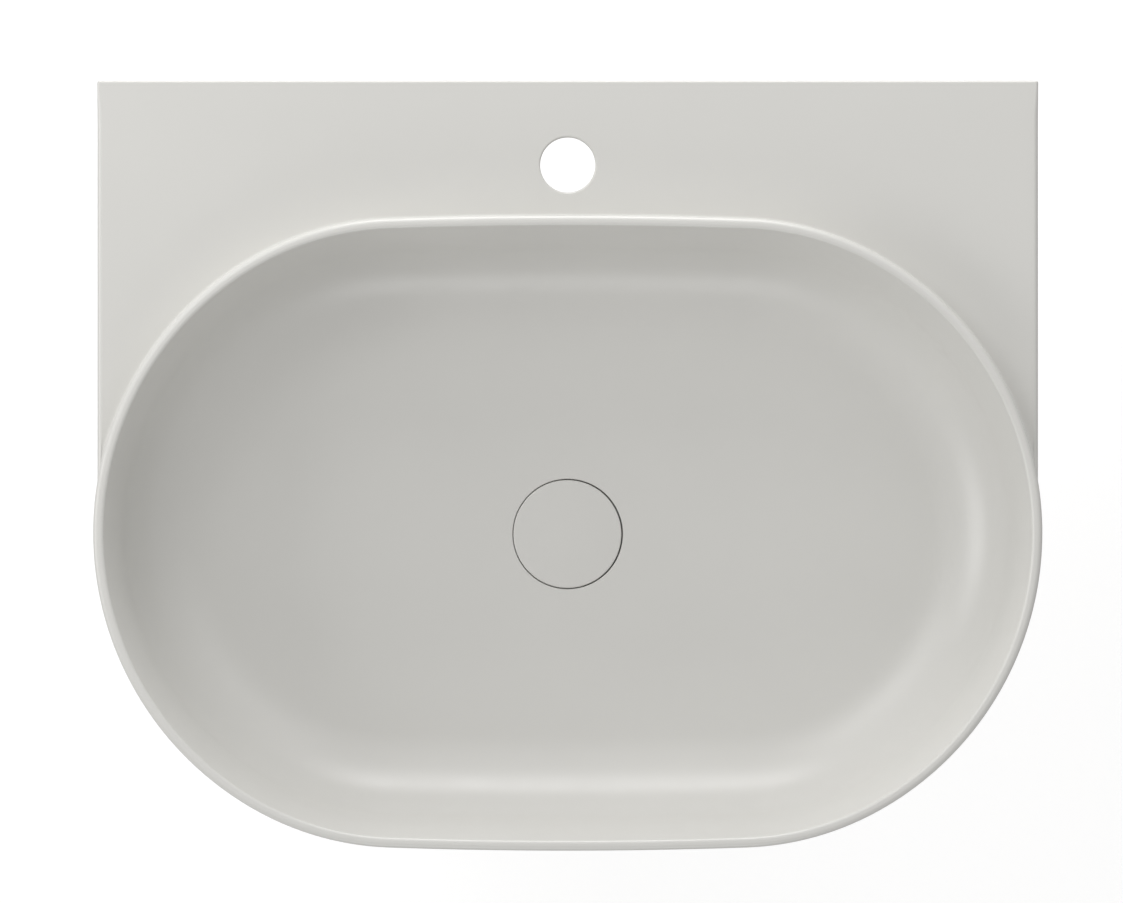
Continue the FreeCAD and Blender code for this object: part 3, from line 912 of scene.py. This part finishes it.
def nut_outline():
    """Plan points (radius, angle) round the nut, and the same points with the wrench notches cut in."""
    half_angle = math.asin(nut_notch_width / 2 / nut_radius)
    spacing = 2 * math.pi / nut_notch_count
    floor_radius = nut_radius - nut_notch_depth
    notch = ((-1, nut_radius), (-1, floor_radius), (0, floor_radius), (1, floor_radius), (1, nut_radius))
    full, notched = [], []
    for index in range(nut_notch_count):
        middle = spacing * index
        for share, reach in notch:
            full.append((nut_radius, middle + half_angle * share))
            notched.append((reach, middle + half_angle * share))
        for angle in steps(middle + half_angle, middle + spacing - half_angle, nut_arc_rows)[1:-1]:
            full.append((nut_radius, angle))
            notched.append((nut_radius, angle))
    return full, notched


def make_nut(material):
    """The cast nut with its wrench notches and bevelled edges."""
    low_z = nut_high_z - nut_height
    shelf_z = nut_high_z - washer_thickness
    inner = tail_radius + fit_clearance
    full, notched = nut_outline()
    bore = [(inner, angle) for _, angle in full]
    full_edge = [(reach - nut_edge_bevel, angle) for reach, angle in full]
    notched_edge = [(reach - nut_edge_bevel, angle) for reach, angle in notched]
    outlines = [
        (bore, low_z),
        (bore, nut_high_z),
        (full_edge, nut_high_z),
        (full, nut_high_z - nut_edge_bevel),
        (full, shelf_z),
        (notched, shelf_z),
        (notched, low_z + nut_edge_bevel),
        (notched_edge, low_z),
    ]
    loops = []
    for outline, z in outlines:
        loop = []
        for reach, angle in outline:
            loop.append(Vector((reach * math.cos(angle), waste_y + reach * math.sin(angle), z)))
        loops.append(loop)
    piece = looped("notched_nut", loops)
    finish_piece(piece, material, "fixed_parts", "lock_nut")


def make_sleeves(material):
    """Two moulded shoulder sleeves in the wall holes."""
    flange_front = -back_wall - sleeve_flange_thickness
    profile = [(sleeve_bore_radius, flange_front), (sleeve_bore_radius, 0)]
    reach = wall_hole_radius - fit_clearance - sleeve_edge_round
    profile += flat_arc((reach, -sleeve_edge_round), sleeve_edge_round, 90, 0, fine_round_rows)
    profile += [(wall_hole_radius - fit_clearance, -back_wall)]
    reach = sleeve_flange_radius - sleeve_edge_round
    profile += flat_arc((reach, -back_wall - sleeve_edge_round), sleeve_edge_round, 90, 0, fine_round_rows)
    profile += flat_arc((reach, flange_front + sleeve_edge_round), sleeve_edge_round, 0, -90, fine_round_rows)
    for side, name in ((-1, "left_sleeve"), (1, "right_sleeve")):
        middle = Vector((side * wall_hole_spacing / 2, 0, 0))
        piece = turned(name, profile, middle, Vector((0, 1, 0)), hollow=True)
        finish_piece(piece, material, "fixed_parts", "fixing_sleeves")


def new_material(name):
    """A material with its principled shader and the links to build on."""
    material = bpy.data.materials.new(name)
    material.use_nodes = True
    return material, material.node_tree.nodes, material.node_tree.links


def shader_of(nodes):
    """The principled shader of a new material."""
    return nodes["Principled BSDF"]


def noise(nodes, links, scale, detail, place):
    """A noise texture in the object's own metres."""
    texture = nodes.new("ShaderNodeTexNoise")
    texture.inputs["Scale"].default_value = scale
    texture.inputs["Detail"].default_value = detail
    links.new(place.outputs["Object"], texture.inputs["Vector"])
    return texture


def ramp(nodes, links, source, low, high, low_colour, high_colour):
    """Maps a stretch of a value to two colours."""
    node = nodes.new("ShaderNodeValToRGB")
    node.color_ramp.elements[0].position = low
    node.color_ramp.elements[1].position = high
    node.color_ramp.elements[0].color = (*low_colour, 1)
    node.color_ramp.elements[1].color = (*high_colour, 1)
    links.new(source, node.inputs["Fac"])
    return node


def tint(colour, share):
    """The colour made lighter or darker by a share."""
    return tuple(channel * (1 + share) for channel in colour)


def map_range(nodes, links, source, from_low, from_high, to_low, to_high):
    """Maps a stretch of a value to another stretch."""
    node = nodes.new("ShaderNodeMapRange")
    node.inputs["From Min"].default_value = from_low
    node.inputs["From Max"].default_value = from_high
    node.inputs["To Min"].default_value = to_low
    node.inputs["To Max"].default_value = to_high
    links.new(source, node.inputs["Value"])
    return node


def bump(nodes, links, source, strength, distance):
    """Turns a value into small heights of the surface."""
    node = nodes.new("ShaderNodeBump")
    node.inputs["Strength"].default_value = strength
    node.inputs["Distance"].default_value = distance
    links.new(source, node.inputs["Height"])
    return node


def mix_colours(nodes, links, share, first, second):
    """Blends two colours by a share."""
    node = nodes.new("ShaderNodeMix")
    node.data_type = "RGBA"
    links.new(share, node.inputs["Factor"])
    links.new(first, node.inputs["A"])
    links.new(second, node.inputs["B"])
    return node


def combine(nodes, links, operation, first, second):
    """Adds or multiplies two values, or takes the higher one."""
    node = nodes.new("ShaderNodeMath")
    node.operation = operation
    links.new(first, node.inputs[0])
    links.new(second, node.inputs[1])
    return node


def glaze_material():
    """Satin warm grey glaze with faint clouds and a soft unevenness, and grainy bare ceramic."""
    material, nodes, links = new_material("satin_glaze")
    shader = shader_of(nodes)
    place = nodes.new("ShaderNodeTexCoord")
    clouds = noise(nodes, links, glaze_cloud_scale, cloud_detail, place)
    glazed = ramp(nodes, links, clouds.outputs["Fac"], glaze_cloud_low, glaze_cloud_high,
                  tint(glaze_colour, -glaze_cloud_share), tint(glaze_colour, glaze_cloud_share))
    stains = noise(nodes, links, bisque_stain_scale, mark_detail, place)
    raw = ramp(nodes, links, stains.outputs["Fac"], noise_low, noise_high,
               tint(bisque_colour, -bisque_darker_share), tint(bisque_colour, bisque_lighter_share))
    mark = nodes.new("ShaderNodeAttribute")
    mark.attribute_name = "bare"
    ragged = noise(nodes, links, glaze_edge_scale, grain_detail, place)
    spread = map_range(nodes, links, ragged.outputs["Fac"], noise_low, noise_high,
                       -glaze_edge_spread, glaze_edge_spread)
    total = combine(nodes, links, "ADD", mark.outputs["Fac"], spread.outputs["Result"])
    bare = map_range(nodes, links, total.outputs["Value"], glaze_edge_low, glaze_edge_high, 0, 1)
    colour = mix_colours(nodes, links, bare.outputs["Result"], glazed.outputs["Color"], raw.outputs["Color"])
    links.new(colour.outputs["Result"], shader.inputs["Base Color"])
    sheen = noise(nodes, links, glaze_sheen_scale, grain_detail, place)
    rough = map_range(nodes, links, sheen.outputs["Fac"], noise_low, noise_high,
                      glaze_rough_low, glaze_rough_high)
    coarse = map_range(nodes, links, bare.outputs["Result"], 0, 1, 0, bisque_extra_roughness)
    roughness = combine(nodes, links, "ADD", rough.outputs["Result"], coarse.outputs["Result"])
    links.new(roughness.outputs["Value"], shader.inputs["Roughness"])
    peel = noise(nodes, links, glaze_peel_scale, peel_detail, place)
    skin = bump(nodes, links, peel.outputs["Fac"], glaze_peel_strength, glaze_peel_depth)
    grains = noise(nodes, links, bisque_grain_scale, grain_detail, place)
    weight = combine(nodes, links, "MULTIPLY", grains.outputs["Fac"], bare.outputs["Result"])
    surface = bump(nodes, links, weight.outputs["Value"], bisque_grain_strength, grain_depth)
    links.new(skin.outputs["Normal"], surface.inputs["Normal"])
    links.new(surface.outputs["Normal"], shader.inputs["Normal"])
    return material


def metal_material(name, colour, rough_low, rough_high, scale):
    """Metal with fine tool marks in its roughness and height."""
    material, nodes, links = new_material(name)
    shader = shader_of(nodes)
    shader.inputs["Metallic"].default_value = 1.0
    place = nodes.new("ShaderNodeTexCoord")
    clouds = noise(nodes, links, scale / metal_cloud_size, cloud_detail, place)
    tone = ramp(nodes, links, clouds.outputs["Fac"], noise_low, noise_high,
                tint(colour, -metal_darker_share), tint(colour, metal_lighter_share))
    links.new(tone.outputs["Color"], shader.inputs["Base Color"])
    marks = noise(nodes, links, scale, mark_detail, place)
    rough = map_range(nodes, links, marks.outputs["Fac"], noise_low, noise_high, rough_low, rough_high)
    links.new(rough.outputs["Result"], shader.inputs["Roughness"])
    surface = bump(nodes, links, marks.outputs["Fac"], metal_mark_strength, grain_depth)
    links.new(surface.outputs["Normal"], shader.inputs["Normal"])
    return material


def soft_material(name, colour, rough_low, rough_high, scale, grain):
    """Rubber or plastic with a fine moulded grain."""
    material, nodes, links = new_material(name)
    shader = shader_of(nodes)
    place = nodes.new("ShaderNodeTexCoord")
    clouds = noise(nodes, links, scale / soft_cloud_size, cloud_detail, place)
    tone = ramp(nodes, links, clouds.outputs["Fac"], noise_low, noise_high,
                tint(colour, -soft_tone_share), tint(colour, soft_tone_share))
    links.new(tone.outputs["Color"], shader.inputs["Base Color"])
    skin = noise(nodes, links, scale, grain_detail, place)
    rough = map_range(nodes, links, skin.outputs["Fac"], noise_low, noise_high, rough_low, rough_high)
    links.new(rough.outputs["Result"], shader.inputs["Roughness"])
    surface = bump(nodes, links, skin.outputs["Fac"], grain, grain_depth)
    links.new(surface.outputs["Normal"], shader.inputs["Normal"])
    return material


def dress(node, material):
    """Gives a CAD node one material."""
    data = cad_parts[node].data
    data.materials.clear()
    data.materials.append(material)


def make_lamp(name, azimuth, elevation, power):
    """A soft square lamp that looks at the bowl from a direction."""
    data = bpy.data.lights.new(name, "AREA")
    data.shape = "SQUARE"
    data.size = lamp_size * mm
    data.energy = power
    lamp = new_object(name, data)
    turn, rise = math.radians(azimuth), math.radians(elevation)
    way = Vector((math.cos(rise) * math.cos(turn), math.cos(rise) * math.sin(turn), math.sin(rise)))
    lamp.location = (Vector((0, bowl_y, 0)) + way * lamp_distance) * mm
    lamp.rotation_mode = "QUATERNION"
    lamp.rotation_quaternion = (-way).to_track_quat("-Z", "Y")


def make_floor():
    """The pale floor, which fades to white where the camera sees it lit."""
    half = floor_size * mm / 2
    z = cad_low.z - floor_drop * mm
    data = bpy.data.meshes.new("floor")
    corners = [(-half, -half, z), (half, -half, z), (half, half, z), (-half, half, z)]
    data.from_pydata(corners, [], [(0, 1, 2, 3)])
    floor = new_object("floor", data)
    material, nodes, links = new_material("pale_floor")
    shader = shader_of(nodes)
    place = nodes.new("ShaderNodeTexCoord")
    clouds = noise(nodes, links, floor_cloud_scale, cloud_detail, place)
    tone = ramp(nodes, links, clouds.outputs["Fac"], noise_low, noise_high,
                tint(floor_colour, -floor_cloud_share), floor_colour)
    links.new(tone.outputs["Color"], shader.inputs["Base Color"])
    shader.inputs["Roughness"].default_value = floor_roughness
    shader.inputs["Specular IOR Level"].default_value = floor_specular
    shader.inputs["Emission Color"].default_value = (1, 1, 1, 1)
    path = nodes.new("ShaderNodeLightPath")
    glow = map_range(nodes, links, path.outputs["Is Camera Ray"], 0, 1, 0, floor_glow)
    links.new(glow.outputs["Result"], shader.inputs["Emission Strength"])
    data.materials.append(material)


def make_world():
    """Even white surroundings, which the camera and reflections see as white."""
    world = bpy.data.worlds.new("surroundings")
    bpy.context.scene.world = world
    world.use_nodes = True
    nodes, links = world.node_tree.nodes, world.node_tree.links
    background = nodes["Background"]
    background.inputs["Color"].default_value = (1, 1, 1, 1)
    path = nodes.new("ShaderNodeLightPath")
    seen = path.outputs["Is Camera Ray"]
    for ray in ("Is Transmission Ray", "Is Glossy Ray"):
        seen = combine(nodes, links, "MAXIMUM", seen, path.outputs[ray]).outputs["Value"]
    strength = map_range(nodes, links, seen, 0, 1, world_strength, 1)
    links.new(strength.outputs["Result"], background.inputs["Strength"])


def make_camera():
    """A long lens straight above the basin, so that the view is all but parallel."""
    data = bpy.data.cameras.new("camera")
    data.sensor_width = sensor_width
    data.lens = sensor_width * camera_distance / view_width
    data.clip_start = clip_near * mm
    data.clip_end = clip_far * mm
    camera = new_object("camera", data)
    camera.location = (view_centre_x * mm, view_centre_y * mm, cad_high.z + camera_distance * mm)
    bpy.context.scene.camera = camera


glaze = glaze_material()
brass = metal_material("turned_brass", brass_colour, *brass_finish)
cast_brass = metal_material("cast_brass", cast_brass_colour, *cast_brass_finish)
chrome = metal_material("chrome", chrome_colour, *chrome_finish)
steel = metal_material("ground_steel", steel_colour, *steel_finish)
rubber = soft_material("black_rubber", rubber_colour, *rubber_finish)
sleeve_plastic = soft_material("sleeve_plastic", sleeve_colour, *moulded_finish)
acetal = soft_material("white_acetal", acetal_colour, *acetal_finish)
washer_plastic = soft_material("washer_plastic", washer_colour, *moulded_finish)

finishes = {
    glaze: ["waste_cap"],
    brass: ["cap_carrier", "cartridge_housing", "cartridge_plug"],
    cast_brass: ["spider", "lock_nut"],
    chrome: ["waste_body"],
    steel: ["plunger", "click_spring"],
    rubber: ["cap_seal", "rod_seal", "flange_gasket", "cone_gasket"],
    sleeve_plastic: ["fixing_sleeves"],
    acetal: ["click_rotor"],
    washer_plastic: ["friction_washer"],
}
for material, nodes in finishes.items():
    for node in nodes:
        dress(node, material)

make_basin(glaze)
make_cap(glaze)
make_tail(chrome)
make_gasket(rubber)
make_washer(washer_plastic)
make_nut(cast_brass)
make_sleeves(sleeve_plastic)
make_floor()
make_world()
make_camera()
for name, (azimuth, elevation, power) in lamps.items():
    make_lamp(name, azimuth, elevation, power)

bpy.context.scene.view_settings.view_transform = "Standard"
